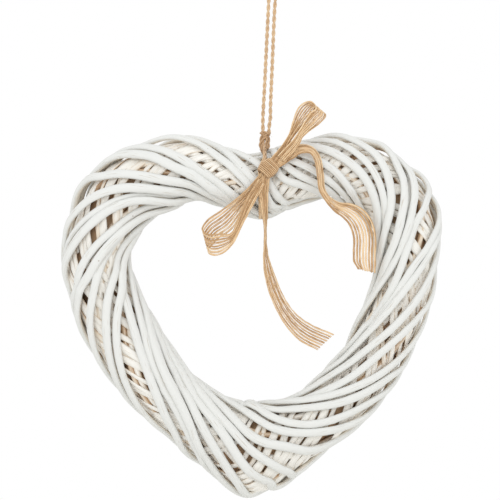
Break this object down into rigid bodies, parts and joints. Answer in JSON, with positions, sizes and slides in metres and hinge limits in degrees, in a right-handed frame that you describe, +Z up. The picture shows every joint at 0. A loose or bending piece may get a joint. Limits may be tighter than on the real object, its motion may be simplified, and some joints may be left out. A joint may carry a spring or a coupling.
{
  "type": "wicker heart wreath",
  "caption": "White-painted willow heart wreath of wound rods, tied with a jute ribbon bow and hung from a loop of jute cord.",
  "frame": {"origin": "point inside the top of the cord loop, where a nail or hook carries the wreath", "axes": "+Z up, -Y the front that shows the bow, +X to the right seen from the front"},
  "size_m": [0.3503, 0.0798, 0.4893],
  "materials": {
    "white_willow": "peeled willow rods sprayed matt white",
    "inner_willow": "peeled willow rods, thinly sprayed white, bare brown where the spray did not reach",
    "jute_cord": "two-ply twisted jute, natural",
    "jute_ribbon": "open plain-woven jute ribbon, natural"
  },
  "bodies": {
    "root": {"rod_01": "white_willow", "rod_02": "white_willow", "rod_03": "white_willow", "rod_04": "white_willow", "rod_05": "white_willow", "rod_06": "white_willow", "rod_07": "white_willow", "rod_08": "white_willow", "rod_09": "white_willow", "rod_10": "white_willow", "rod_11": "white_willow", "rod_12": "white_willow", "rod_13": "white_willow", "rod_14": "white_willow", "inner_rods": "inner_willow", "hanging_cord": "jute_cord", "cord_knot": "jute_cord", "ribbon_bow": "jute_ribbon"}
  },
  "joints": []
}
